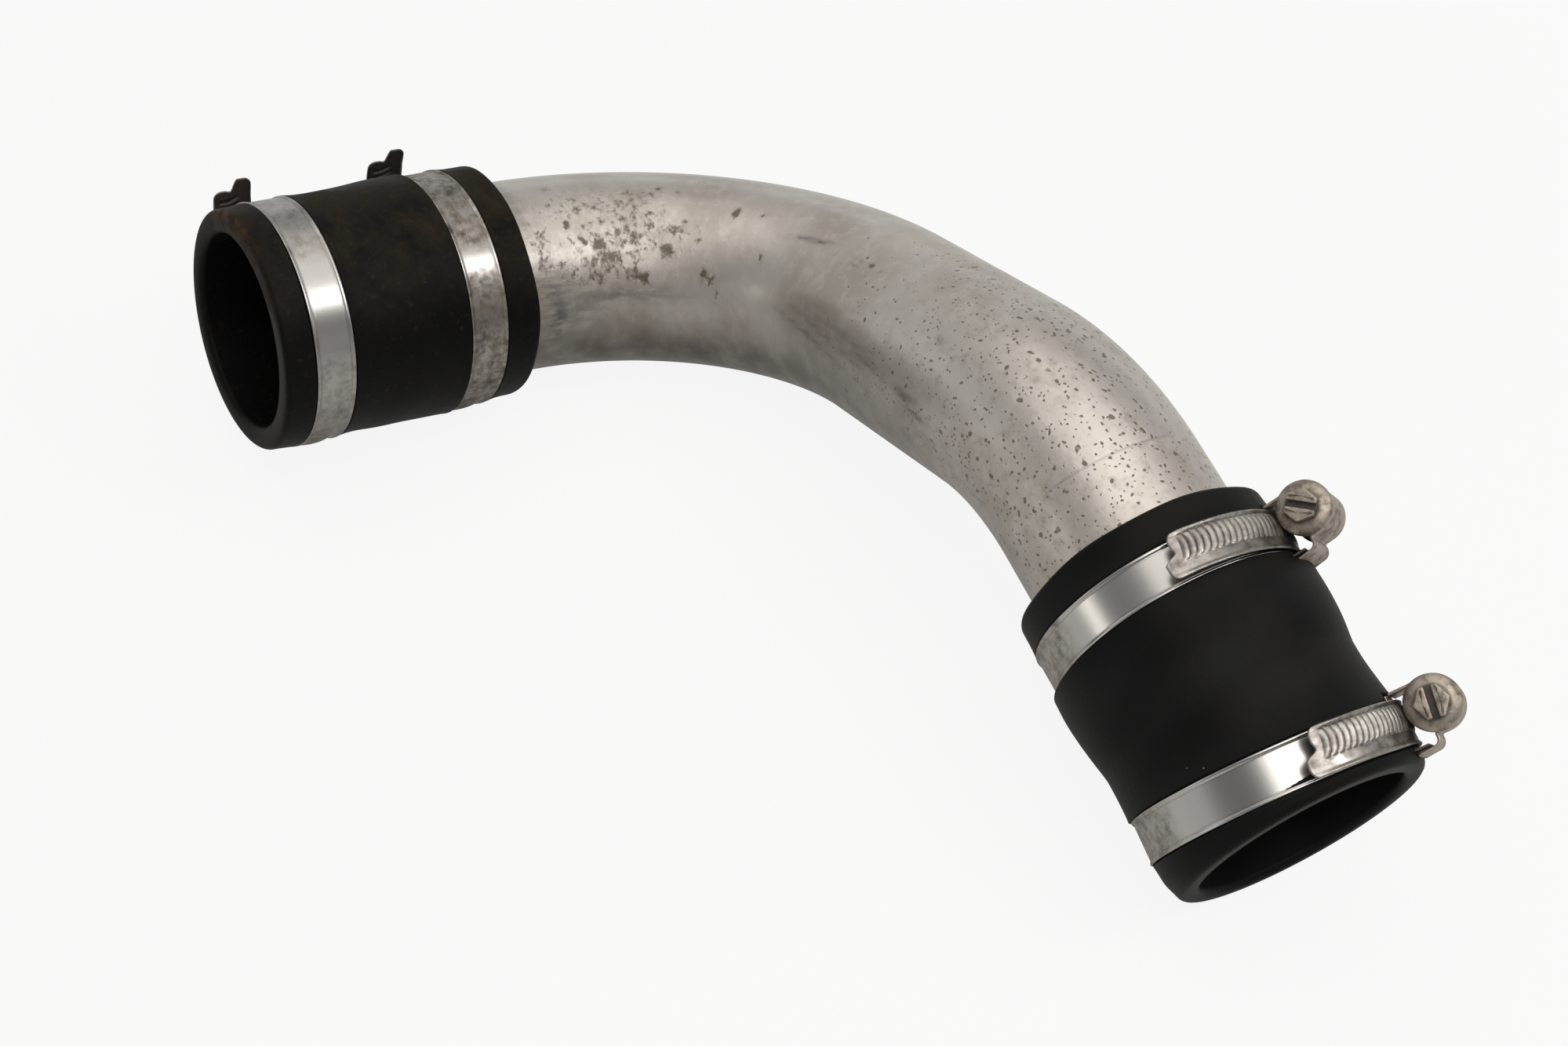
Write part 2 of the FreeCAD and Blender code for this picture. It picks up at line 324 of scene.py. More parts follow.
pipeFinish = {
    "clean": (0.580, 0.543, 0.500, 1), "cloud": (0.455, 0.413, 0.366, 1),
    "chalk": (0.65, 0.61, 0.56, 1), "stain": (0.58, 0.48, 0.34, 1),
    "grimeAndShade": (0.127, 0.107, 0.085, 1), "smearAndShade": (0.085, 0.083, 0.080, 1),
    "crease": (0.24, 0.225, 0.205, 1), "haze": (0.26, 0.232, 0.18, 1),
    "blotch": (0.125, 0.102, 0.070, 1), "halo": (0.26, 0.232, 0.18, 1),
    "pit": (0.105, 0.082, 0.054, 1), "rough": 0.46, "cloudRough": 0.56, "dirtRough": 0.25,
    "eatenMetal": 0.35, "skin": 0.75, "skinRough": 0.20, "drawnBump": 0.25, "chalkBump": 0.3,
    "creaseBump": 0.7, "bump": 0.35, "bumpDepth": 0.0003, "blotchPush": 0.37,
    "blotchLevels": (0.66, 0.88), "drawnStretch": (1, 1, 0.05), "smearStretch": (1, 1, 0.25),
    "cover": {"chalk": 0.55, "stain": 0.55, "crease": 0.4, "haze": 0.9, "pit": 0.88},
    "marks": {"cloud": (30, 6, 0.62, 0.36, 0.66), "chalk": (210, 5, 0.65, 0.46, 0.72),
              "stain": (90, 4, 0.55, 0.3, 0.6), "grimeAndShade": (90, 5, 0.6, 0.28, 0.7, 0.68, 1.0),
              "smearAndShade": (330, 5, 0.65, 0.32, 0.62), "haze": (170, 6, 0.7, 0.38, 0.66),
              "halo": (240, 6, 0.72, 0.50, 0.74, 0.0, 0.5)},
    "blotchNoise": (360, 6, 0.68), "drawnNoise": (520, 4),
    # cell in metres, largest spot as a part of it, share of the cells where the pitting is full
    "finePits": (0.00135, 0.37, 0.66), "coarsePits": (0.0029, 0.31, 0.46),
}


def aluminiumMaterial():
    finish = pipeFinish
    material, tree, shader = newMaterial("weatheredAluminium")
    unbent = painted(tree, "unbent", "Vector")
    wear = {kind: painted(tree, kind)
            for kind in ("stain", "grimeAndShade", "smearAndShade", "bendLine", "blotch", "pitting")}
    drawnOut = {"smearAndShade": stretched(tree, unbent, finish["smearStretch"])}
    mark = {kind: mottled(tree, drawnOut.get(kind, unbent), *numbers)
            for kind, numbers in finish["marks"].items()}
    # corrosion: broad spots where the noise and the painted share together pass a level, and pits
    patch = maths(tree, "ADD", noise(tree, unbent, *finish["blotchNoise"]),
                  times(tree, wear["blotch"], finish["blotchPush"]))
    blotch = spread(tree, patch, *finish["blotchLevels"])
    fine, coarse = (pits(tree, unbent, cell, size, times(tree, wear["pitting"], share))
                    for cell, size, share in (finish["finePits"], finish["coarsePits"]))
    pit = maths(tree, "MAXIMUM", fine, coarse)
    eaten = maths(tree, "MAXIMUM", pit, blotch)
    # the grime layer carries painted shade below and in the bore, the smear layer painted shade next
    # to the hose end
    colour = layered(tree, finish, "clean", {
        "cloud": mark["cloud"],
        "chalk": mark["chalk"],
        "stain": times(tree, wear["stain"], mark["stain"]),
        "grimeAndShade": times(tree, wear["grimeAndShade"], mark["grimeAndShade"]),
        "smearAndShade": times(tree, wear["smearAndShade"], mark["smearAndShade"]),
        "crease": wear["bendLine"],
        "haze": times(tree, wear["blotch"], mark["haze"]),
        "blotch": blotch,
        "halo": times(tree, wear["pitting"], mark["halo"]),
        "pit": pit})
    eatenGrimeOrShade = maths(tree, "MAXIMUM", eaten, wear["grimeAndShade"])
    satin = spread(tree, mark["cloud"], 0, 1, finish["rough"], finish["cloudRough"])
    drawn = noise(tree, stretched(tree, unbent, finish["drawnStretch"]), *finish["drawnNoise"])
    sunk = maths(tree, "ADD", eaten, times(tree, wear["bendLine"], finish["creaseBump"]))
    height = maths(tree, "SUBTRACT", times(tree, drawn, finish["drawnBump"]), sunk)
    height = maths(tree, "ADD", height, times(tree, mark["chalk"], finish["chalkBump"]))
    normal = bumped(tree, height, finish["bump"], finish["bumpDepth"])
    plug(tree, shader, {
        "Base Color": colour,
        "Roughness": maths(tree, "ADD", satin, times(tree, eatenGrimeOrShade, finish["dirtRough"])),
        "Metallic": spread(tree, eaten, 0, 1, 1.0, finish["eatenMetal"]),
        "Normal": normal, "Coat Normal": normal,
        "Coat Weight": finish["skin"], "Coat Roughness": finish["skinRough"]})
    return material


rubberFinish = {
    "black": (0.0034, 0.0034, 0.0036, 1), "wrap": (0.0095, 0.0096, 0.0100, 1),
    "dusty": (0.021, 0.0165, 0.0105, 1), "crumb": (0.080, 0.042, 0.019, 1),
    "rust": (0.080, 0.042, 0.019, 1), "speck": (0.16, 0.15, 0.13, 1),
    "specks": (0.008, 0.045, 0.10), "crumbs": 0.35, "dustWarp": 0.6, "rough": 0.5,
    "dustRough": 0.75, "gloss": 0.09, "dustBump": 0.8, "bump": 0.22, "bumpDepth": 0.0003,
    "dustNoise": (75, 6, 0.68, 0.36, 0.72), "crumbNoise": (420, 5, 0.7, 0.55, 0.75),
    "rustNoise": (300, 5, 0.7, 0.35, 0.65), "grainNoise": (900, 4), "cover": {}}


def rubberMaterial(name, dust):
    finish = rubberFinish
    material, tree, shader = newMaterial(name)
    unbent = painted(tree, "unbent", "Vector")
    film = mottled(tree, unbent, *finish["dustNoise"], toHigh=dust, warp=finish["dustWarp"])
    film = times(tree, film, painted(tree, "settled"))
    rust = mottled(tree, unbent, *finish["rustNoise"])
    colour = layered(tree, finish, "black", {
        "wrap": painted(tree, "wrap"),
        "dusty": film,
        "crumb": mottled(tree, unbent, *finish["crumbNoise"], toHigh=finish["crumbs"] * dust),
        "rust": times(tree, painted(tree, "rust"), rust),
        "speck": pits(tree, unbent, *finish["specks"])})
    grain = maths(tree, "ADD", noise(tree, unbent, *finish["grainNoise"]),
                  times(tree, film, finish["dustBump"]))
    plug(tree, shader, {
        "Base Color": colour,
        "Roughness": spread(tree, film, 0, 1, finish["rough"], finish["dustRough"]),
        "Specular IOR Level": finish["gloss"],
        "Normal": bumped(tree, grain, finish["bump"], finish["bumpDepth"])})
    return material


bandFinish = {
    "bright": (0.49, 0.478, 0.462, 1), "dull": (0.22, 0.189, 0.157, 1),
    "spot": (0.060, 0.049, 0.039, 1), "bandShade": (0.085, 0.075, 0.065, 1),
    "dirt": (0.022, 0.018, 0.014, 1), "polish": 0.27, "matt": 0.52, "shadeAndDirtMetal": 0.3,
    "scratch": (0.03, 1, 1), "wornBump": 0.2, "bump": 0.07, "bumpDepth": 0.0002,
    "dullNoise": (330, 6, 0.66, 0.36, 0.66, 0.35, 1.0), "spotNoise": (150, 6, 0.7, 0.47, 0.68),
    "scratchNoise": (1900, 4), "cover": {"spot": 0.85, "bandShade": 0.75}}


def bandMaterial(name, innerShadeAndDirt):
    finish = bandFinish
    material, tree, shader = newMaterial(name)
    strip = painted(tree, "strip", "Vector")
    dull = painted(tree, "dull")
    worn = times(tree, dull, mottled(tree, strip, *finish["dullNoise"]))
    # the inner side is darkened by dirt and painted shade
    inner = times(tree, painted(tree, "inner"), innerShadeAndDirt)
    colour = layered(tree, finish, "bright", {
        "dull": worn,
        "spot": times(tree, mottled(tree, strip, *finish["spotNoise"]), dull),
        "bandShade": painted(tree, "bandShade"),
        "dirt": inner})
    matt = maths(tree, "MAXIMUM", worn, inner)
    scratches = noise(tree, stretched(tree, strip, finish["scratch"]), *finish["scratchNoise"])
    height = maths(tree, "ADD", scratches, times(tree, worn, finish["wornBump"]))
    plug(tree, shader, {
        "Base Color": colour,
        "Roughness": spread(tree, matt, 0, 1, finish["polish"], finish["matt"]),
        "Metallic": spread(tree, inner, 0, 1, 1.0, finish["shadeAndDirtMetal"]),
        "Normal": bumped(tree, height, finish["bump"], finish["bumpDepth"])})
    return material


zincFinish = {
    "zinc": (0.41, 0.357, 0.300, 1), "rust": (0.16, 0.130, 0.100, 1),
    "bare": (0.56, 0.505, 0.44, 1), "recessShade": (0.030, 0.024, 0.019, 1),
    "bareShift": (0.3, 0.1, 0.2), "rough": 0.42, "rustRough": 0.62, "metal": 0.75,
    "recessShadeMetal": 0.2, "rustBump": 0.5, "bump": 0.35, "bumpDepth": 0.0003,
    "rustNoise": (300, 6, 0.68, 0.42, 0.70), "bareNoise": (520, 5, 0.7, 0.56, 0.72),
    "lumpNoise": (800, 5, 0.65), "cover": {"bare": 0.7, "recessShade": 0.9},
    "belowShade": 0.6, "belowLevels": (0.05, -0.95)}


def zincMaterial(name):
    finish = zincFinish
    material, tree, shader = newMaterial(name)
    place = objectCoords(tree)
    aside = stretched(tree, place, (1, 1, 1), finish["bareShift"])
    brown = mottled(tree, place, *finish["rustNoise"])
    # the recess layer is painted shade in hollows and towards the underside
    recessShade = painted(tree, "recessShade")
    colour = layered(tree, finish, "zinc", {
        "rust": brown, "bare": mottled(tree, aside, *finish["bareNoise"]), "recessShade": recessShade})
    lumps = maths(tree, "ADD", noise(tree, place, *finish["lumpNoise"]),
                  times(tree, brown, finish["rustBump"]))
    plug(tree, shader, {
        "Base Color": colour,
        "Roughness": spread(tree, brown, 0, 1, finish["rough"], finish["rustRough"]),
        "Metallic": spread(tree, recessShade, 0, 1, finish["metal"], finish["recessShadeMetal"]),
        "Normal": bumped(tree, lumps, finish["bump"], finish["bumpDepth"])})
    return material


# The charge pipe

pipeSize = {
    "radius": 30.0, "wall": 2.0, "lip": 0.4, "beadBase": 4.5, "beadCrest": 1.5,
    "beadHeight": 1.5, "beadSetback": 7.0, "rows": 400, "innerRows": 80, "beadRows": 25,
    "around": 168,
    # pits gather towards the outlet, most on one side; grime with painted shade lies below, less near
    # the outlet, and darkens the bore
    "pitsAlong": (176, 262), "pitsLeast": 0.30, "pitsSide": 292, "boreGrimeAndShade": 0.85,
    "grimeAndShadeFacing": (0.56, -0.36), "cleaner": 0.45, "cleanerAlong": (215, 262),
    # the line across the second bend
    "lineAt": 291.4, "lineWidth": 0.35, "lineMiddle": 292.0, "lineReach": 46.0, "lineFade": 0.6,
    "lineSpan": 1.5, "lineRows": 13,
    # distance along the pipe, turn round it in degrees, half length, half width, slant, strength
    "marks": {
        "blotch": [
            (76, 300, 16, 9, 0, 0.55), (95, 310, 14, 8, 0, 0.5), (72, 326, 4.5, 3.4, 0, 1.0),
            (65, 322, 3.0, 2.6, 0, 0.9), (101, 328, 5.0, 3.4, 20, 1.0), (87, 344, 4.0, 3.0, 0, 1.1),
            (92, 346, 3.4, 2.4, 0, 1.1), (119, 341, 2.4, 2.4, 0, 1.1), (123, 343, 2.2, 2.6, 0, 1.0),
            (126, 300, 1.6, 2.6, 0, 1.1), (144, 325, 1.5, 1.6, 0, 1.1), (114, 322, 3.0, 1.2, 0, 1.0),
            (107, 311, 1.8, 1.5, 0, 0.9), (60, 312, 2.2, 2.2, 0, 0.9), (48, 316, 3.4, 2.4, 0, 0.9),
            (57, 282, 2.0, 1.2, 0, 0.9), (96, 285, 2.2, 1.2, 0, 0.8), (102, 288, 1.8, 1.3, 0, 0.8),
            (84, 318, 28, 13, 0, 0.62), (66, 340, 22, 10, 0, 0.62), (48, 330, 8, 16, 0, 0.5),
            (77, 334, 7.0, 4.5, 0, 0.85), (62, 300, 14, 8, 0, 0.55), (88, 292, 12, 5, 0, 0.6),
            (105, 318, 7, 4, 0, 0.7), (126, 352, 1.2, 2.4, 0, 0.9), (195, 303, 1.8, 1.5, 0, 1.1),
            (200, 303, 1.6, 1.2, 0, 0.9), (137, 297, 1.2, 1.2, 0, 0.9), (255, 292, 3.0, 2.0, 30, 0.7),
            (262, 245, 5.0, 2.0, 0, 0.6)],
        # smears and scratches; the marks 43 to 60 along, next to the hose end, are painted shade
        "smearAndShade": [
            (47, 344, 8, 9, 0, 0.7), (51, 10, 7, 11, 0, 0.9), (80, 355, 28, 2.8, 0, 0.6),
            (60, 0, 14, 8, 0, 0.5), (43, 300, 3, 40, 0, 0.35), (158, 306, 6.0, 0.8, -8, 0.9),
            (167, 304, 4.2, 0.8, -10, 0.9), (189, 305, 2.4, 1.6, 0, 0.8), (195, 352, 26, 0.8, 8, 0.6),
            (187, 358, 22, 0.8, 8, 0.7), (214, 351, 17, 0.9, 8, 0.5), (236, 356, 7, 2.2, 10, 0.8),
            (241, 1, 6, 0.9, 10, 0.8), (205, 346, 30, 4.0, 8, 0.3), (240, 318, 2.0, 1.0, 30, 0.7)],
        "stain": [(196, 271, 12, 6, -20, 1.0), (208, 264, 9, 5, -20, 0.8)],
    },
}


def gridOf(x, y, z):
    # points of a grid from three coordinates, each spread over the whole of it
    return np.stack(np.broadcast_arrays(x, y, z), -1)


def wearField(marks, along, degrees):
    # the strongest of soft ellipses laid on the unrolled surface, each its strength times
    # exp(-(x / length)^2 - (y / width)^2)
    field = np.zeros(np.broadcast(along, degrees).shape)
    for at, turn, length, width, slant, strength in marks:
        across = turnFrom(turn, degrees) * np.radians(1) * pipeSize["radius"]
        lean = np.radians(slant)
        x = (along - at) * np.cos(lean) + across * np.sin(lean)
        y = across * np.cos(lean) - (along - at) * np.sin(lean)
        field = np.maximum(field, strength * np.exp(-(x / length) ** 2 - (y / width) ** 2))
    return field


def beadRise(fromCrest):
    # full height up to beadCrest from the crest's middle, a smooth step down to nothing at beadBase
    size = pipeSize
    return size["beadHeight"] * (1 - smoothStep(size["beadCrest"], size["beadBase"], fromCrest))


def pipeOutline():
    # outer wall with a raised bead near each end, a lip, and the bore back again
    size = pipeSize
    lip, bore = size["lip"], size["radius"] - size["wall"]
    outer = np.linspace(lip, routeLength - lip, size["rows"])
    near = size["beadSetback"] + np.linspace(-size["beadBase"], size["beadBase"], size["beadRows"])
    crease = size["lineAt"] + np.linspace(-size["lineSpan"], size["lineSpan"], size["lineRows"])
    outer = np.unique(np.concatenate([outer, near, routeLength - near, crease]))
    bead = beadRise(np.abs(np.minimum(outer, routeLength - outer) - size["beadSetback"]))
    inner = np.linspace(routeLength - lip, lip, size["innerRows"])
    along = np.concatenate([outer, [routeLength, routeLength], inner, [0, 0]])
    rim = np.array([size["radius"] - lip, bore + lip])
    return along, np.concatenate([size["radius"] + bead, rim, np.full(len(inner), bore), rim[::-1]])


def unbentCoords(along, angle, radius):
    # the surface as if the line were straight, in metres, for patterns that follow the pipe
    x, y = radius * np.cos(angle)[None, :], radius * np.sin(angle)[None, :]
    return gridOf(x, y, along[:, None]).reshape(-1, 3) * mm


def buildPipe():
    # outer wall, lips and bore as one closed grid: point of the line + radius times spoke
    size = pipeSize
    along, radius = pipeOutline()
    angle = np.linspace(0, 2 * np.pi, size["around"], endpoint=False)
    point, axes = routeFrames(along)
    spoke = spokes(axes, angle)
    radius = np.broadcast_to(radius[:, None], spoke.shape[:2])
    surface = outward(quadGrid(point[:, None, :] + radius[..., None] * spoke, True, True))
    degrees = np.degrees(angle)[None, :]
    down = along[:, None]
    outside = radius > size["radius"] - size["lip"] / 2
    facing = 0.5 + 0.5 * np.cos(np.radians(degrees - size["pitsSide"]))
    pitting = smoothStep(*size["pitsAlong"], down) * (
        size["pitsLeast"] + (1 - size["pitsLeast"]) * facing)
    # grime with painted shade: darker where the wall faces down, less near the outlet
    grimeAndShade = smoothStep(*size["grimeAndShadeFacing"], spoke[..., 2]) * (
        1 - size["cleaner"] * smoothStep(*size["cleanerAlong"], down))
    away = np.abs(turnFrom(size["lineMiddle"], degrees)) / size["lineReach"]
    crease = np.exp(-((down - size["lineAt"]) / size["lineWidth"]) ** 2)
    crease = crease * (1 - smoothStep(size["lineFade"], 1.0, away))
    worn = {kind: (wearField(marks, down, degrees) * outside).ravel()
            for kind, marks in size["marks"].items()}
    worn["pitting"] = (pitting * outside).ravel()
    worn["grimeAndShade"] = np.where(outside, grimeAndShade, size["boreGrimeAndShade"]).ravel()
    worn["bendLine"] = (crease * outside).ravel()
    worn["unbent"] = unbentCoords(along, angle, radius)
    makePiece("pipe", surface, aluminiumMaterial(), "charge_pipe", "pipe_assembly",
              worn)


# The clamps: how far along the line, turn of the housing round the hose, lean of the ring, tail,
# and finish; polished gives the turns round the ring between which the strip is still bright

hoseGrip = 38.0
clampSetting = {
    "inlet_mouth_clamp": {
        "piece": "inletMouth", "along": hoseGrip - 66.5, "turn": 181.0, "lean": 0.0, "twist": 0.0,
        "tailRadius": 250.0, "tailLength": 31.5, "polished": (128, 176), "dull": 0.52,
        "innerShadeAndDirt": 0.95, "slot": 20.0},
    "inlet_pipe_clamp": {
        "piece": "inletPipeSide", "along": hoseGrip - 17.2, "turn": 185.0, "lean": 0.0,
        "twist": 0.0, "tailRadius": 140.0, "tailLength": 32.0, "polished": (136, 146), "dull": 1.0,
        "innerShadeAndDirt": 0.95, "slot": 70.0},
    "outlet_pipe_clamp": {
        "piece": "outletPipeSide", "along": routeLength - hoseGrip + 16.1, "turn": 138.0,
        "lean": 0.0, "twist": route["bendTwist"], "tailRadius": 42.0, "tailLength": 47.8,
        "polished": (-90, 122), "dull": 0.75, "innerShadeAndDirt": 0.3, "slot": 43.0},
    "outlet_mouth_clamp": {
        "piece": "outletMouth", "along": routeLength - hoseGrip + 69.0, "turn": 134.0,
        "lean": 8.4, "twist": route["bendTwist"], "tailRadius": 42.0, "tailLength": 46.0,
        "polished": (-90, 128), "dull": 0.75, "innerShadeAndDirt": 0.3, "slot": 99.0},
}


def clampFrame(setting):
    # the ring's own axes as columns: outward at the housing, along the screw, along the pipe
    point, axes = routeFrames(np.array([setting["along"]]))
    upright = np.array([[0, 0, 1], [1, 0, 0], [0, 1, 0]], float)
    turn = (axes[0] @ turned((1, 0, 0), setting["twist"]) @ upright
            @ turned((0, 1, 0), setting["lean"]) @ turned((0, 0, 1), setting["turn"]))
    return point[0], turn


def placedOn(setting, surface):
    point, turn = clampFrame(setting)
    points, faces = surface
    return point + points @ turn.T, faces


bandSize = {
    "ring": 36.0, "width": 12.0, "thickness": 0.8, "climbAngle": 60.0, "climbRise": 1.2,
    "housingLength": 14.0, "edgeGap": 0.15,
    # the pressed ridges, then the tip with its two lobes, then the rolled edges
    "ridgePitch": 2.05, "ridgeHeight": 0.72, "ridgeFrom": -4.7, "ridgeTo": 2.2, "slant": 0.22,
    "bow": 0.7, "rise": 0.66, "fall": 0.34, "crest": 1.5, "lens": 0.45, "firstRidge": 5.6,
    "firstFade": 0.1, "ringFrom": 11.5, "ridgesBegin": 222.0, "ridgesFade": 1.5,
    "tip": 9.0, "lobeStep": 3.4, "lobeSplit": (-0.7, 1.7), "lobeRound": 2.4, "nick": 0.35,
    "nickAt": -0.9, "nickHalf": 1.3,
    "edgeRoll": 0.42, "rollFrom": 1.15, "rollTo": 0.35, "rollStart": 3, "rollEnd": 5,
    "grid": {"steps": (0, 0.08, 0.16, 0.26, 0.4, 0.6, 0.85, 1.1), "margin": 1.3, "columns": 43,
             "startSteps": 6, "ringFrom": 1.0, "ringStep": 1.6, "ridgeLead": 1.0,
             "ridgeStep": 0.3},
    "wear": {"brightFade": 6, "tailFade": 12, "tailDull": 0.68, "edgeLine": 0.5,
             "edgeLineAt": 1.25, "edgeLineWidth": 0.22, "below": 0.75,
             "belowFacing": (0.25, -0.75), "innerShift": 3.0},
}


def stripLine(setting, steps):
    # edge-on line of the strip: ring, then a wider arc that climbs over the saddle, then the
    # tail's arc
    size = bandSize
    inner = size["ring"] - size["thickness"] / 2
    ringStart = np.degrees(np.arcsin((size["housingLength"] / 2 + size["edgeGap"]) / inner))
    spreadOut = size["climbRise"] / (1 - np.cos(np.radians(size["climbAngle"])))
    lean = np.radians(180 - size["climbAngle"])
    climbCentre = spreadOut * np.array([np.cos(lean), np.sin(lean)])
    climbRadius = size["ring"] + spreadOut
    tailRadius = setting["tailRadius"]
    tailCentre = climbCentre + np.array([climbRadius - tailRadius, 0])
    arcs = [(np.zeros(2), size["ring"], ringStart, 360 - size["climbAngle"]),
            (climbCentre, climbRadius, -size["climbAngle"], 0),
            (tailCentre, tailRadius, 0, np.degrees(setting["tailLength"] / tailRadius))]
    spans = np.array([radius * np.radians(end - start) for centre, radius, start, end in arcs])
    ends = np.cumsum(spans)
    t = steps(ends)
    arc = np.clip(np.searchsorted(ends, t, side="left"), 0, 2)
    centre = np.array([a[0] for a in arcs])[arc]
    radius = np.array([a[1] for a in arcs])[arc]
    start = np.radians([a[2] for a in arcs])[arc]
    angle = start + (t - (ends - spans)[arc]) / radius
    outwards = np.stack([np.cos(angle), np.sin(angle)], -1)
    return centre + radius[..., None] * outwards, outwards, t, ends


def tailEnd(z):
    # how far short of the tip the tail stops at each place across it: a long lobe on one side, a
    # short one on the other, each rounded at its outer corner, and a small nick between them
    size = bandSize
    lobe = size["lobeRound"]
    over = np.clip(np.abs(z) - (size["width"] / 2 - lobe), 0, lobe)
    corner = lobe - np.sqrt(np.clip(lobe ** 2 - over ** 2, 0, None))
    short = size["lobeStep"] * (1 - smoothStep(*size["lobeSplit"], z))
    nick = size["nick"] * np.clip(1 - ((z - size["nickAt"]) / size["nickHalf"]) ** 2, 0, 1)
    return corner + short + nick


def buildBand(name, setting):
    size, grid, wear = bandSize, bandSize["grid"], bandSize["wear"]
    half = size["width"] / 2
    across = rimmed(-half, half, grid["columns"], grid)[None, :]
    stop = tailEnd(across)
    begin = np.radians(size["ridgesBegin"] - size["ringFrom"]) * size["ring"]

    def steps(ends):
        # rows lie closest on the ridges; those on the tip give way to its outline
        ridged = begin - grid["ridgeLead"]
        rows = np.concatenate([
            grid["steps"][:grid["startSteps"]],
            np.arange(grid["ringFrom"], ridged, grid["ringStep"]),
            np.linspace(ridged, ends[2], int((ends[2] - ridged) / grid["ridgeStep"]))])
        squeeze = smoothStep(ends[2] - size["tip"], ends[2], rows)
        return rows[:, None] - squeeze[:, None] * stop

    line, outwards, t, ends = stripLine(setting, steps)
    fromTip = ends[2] - stop - t
    edgeDistance = np.minimum(np.minimum(t, fromTip), half - np.abs(across))
    # pressed ridges: a row of slanted, bowed waves, steeper on one side, that fade at both ends
    middle = (size["ridgeFrom"] + size["ridgeTo"]) / 2
    reach = (size["ridgeTo"] - size["ridgeFrom"]) / 2
    aside = (across - middle) / reach
    phase = ends[2] - t - size["firstRidge"] + size["slant"] * across + size["bow"] * aside ** 2
    phase = phase / size["ridgePitch"]
    saw = phase - np.floor(phase)
    rising = np.sin(saw / size["rise"] * np.pi / 2)
    falling = np.cos((saw - size["rise"]) / size["fall"] * np.pi / 2)
    wave = np.where(saw < size["rise"], rising, falling) ** size["crest"]
    lens = np.clip(1 - aside ** 2, 0, 1) ** size["lens"]
    onTail = (smoothStep(-size["firstFade"], size["firstFade"], phase)
              * smoothStep(begin, begin + size["ridgesFade"], t))
    rolled = smoothStep(half - size["rollFrom"], half - size["rollTo"], np.abs(across))
    rolled = (size["edgeRoll"] * rolled * smoothStep(0, size["rollStart"], t)
              * smoothStep(0, size["rollEnd"], fromTip))
    lift = size["ridgeHeight"] * wave * lens * onTail + rolled
    points = np.concatenate([line + outwards * lift[..., None],
                             np.broadcast_to(across[..., None], t.shape + (1,))], -1)
    surface = sheetGrid(points, edgeDistance, size["thickness"] / 2)
    # finish: dull away from the polished stretch of the ring; painted shade in the grooves, along the
    # rolled edges and where the strip faces down; dirt with painted shade on the inner side
    ring = np.degrees(t / size["ring"]) + size["ringFrom"]
    low, high = setting["polished"]
    fade = wear["brightFade"]
    onward = smoothStep(ends[0], ends[0] + wear["tailFade"], t)
    bright = smoothStep(low - fade, low + fade, ring) * (
        1 - smoothStep(high - fade, high + fade, ring)) * (1 - onward)
    dull = np.maximum(setting["dull"] * (1 - bright), wear["tailDull"] * onward)
    fromEdgeLine = (half - wear["edgeLineAt"] - np.abs(across)) / wear["edgeLineWidth"]
    facing = outwards @ clampFrame(setting)[1][2, :2]  # height part of the way the strip faces
    # painted shade: darker between the ridges, along a line by each rolled edge and where the strip
    # faces down
    bandShade = np.maximum((1 - wave) ** 2 * lens * onTail,
                        wear["edgeLine"] * np.exp(-fromEdgeLine ** 2))
    bandShade = np.maximum(bandShade, wear["below"] * smoothStep(*wear["belowFacing"], facing))

    def both(outer, inner):
        return np.concatenate([np.broadcast_to(side, t.shape).ravel() for side in (outer, inner)])

    strip = gridOf(both(t, t), both(across, across), both(0.0, wear["innerShift"])) * mm
    makePiece(setting["piece"] + "Band", placedOn(setting, surface),
              bandMaterial(setting["piece"] + "Steel", setting["innerShadeAndDirt"]), name + "_band",
              "pipe_assembly",
              {"dull": both(dull, setting["dull"]), "bandShade": both(bandShade, bandShade),
               "inner": both(0.0, 1.0), "strip": strip})


housingSize = {"screwAt": 45.2, "offset": -1.4, "arch": 6.45, "sheet": 0.9, "shoulder": 42.5,
               "foot": 8.3, "footSplay": 0.5, "bends": (0.9, 1.9), "bottom": 36.1, "from": -7.3,
               "to": 7.0, "base": 35.9, "baseSheet": 0.56, "baseOver": 0.2, "lugAt": 7.2,
               "lugFrom": 35.7, "lugTo": 39.8, "lugShade": 0.8,
               "grid": {"steps": (0, 0.06, 0.14, 0.25, 0.4), "margin": 0.7, "archSteps": 49,
                        "sectionStep": 0.22, "along": 40, "wide": 30, "tall": 12}}


def shadeBelow(points):
    # share of painted shade that grows from the middle of a piece to its underside
    low, high = points[:, 2].min(), points[:, 2].max()
    level = 2 * (points[:, 2] - low) / (high - low) - 1
    return zincFinish["belowShade"] * smoothStep(*zincFinish["belowLevels"], level)


def filletedLine(corners, radii):
    # a line through corners that rounds each inner corner by an arc of its radius, tangent to both
    # sides
    corners = np.asarray(corners, float)
    share = np.linspace(0, 1, 12)[:, None]
    parts = [corners[:1]]
    for before, corner, after, radius in zip(corners[:-2], corners[1:-1], corners[2:], radii):
        toBefore = (before - corner) / np.linalg.norm(before - corner)
        toAfter = (after - corner) / np.linalg.norm(after - corner)
        halfAngle = np.arccos(np.clip(toBefore @ toAfter, -1, 1)) / 2
        bisector = (toBefore + toAfter) / np.linalg.norm(toBefore + toAfter)
        centre = corner + bisector * radius / np.sin(halfAngle)
        start = corner + toBefore * radius / np.tan(halfAngle) - centre
        end = corner + toAfter * radius / np.tan(halfAngle) - centre
        span = np.pi - 2 * halfAngle
        swept = np.sin((1 - share) * span) * start + np.sin(share * span) * end
        parts.append(centre + swept / np.sin(span))
    return np.concatenate(parts + [corners[-1:]])


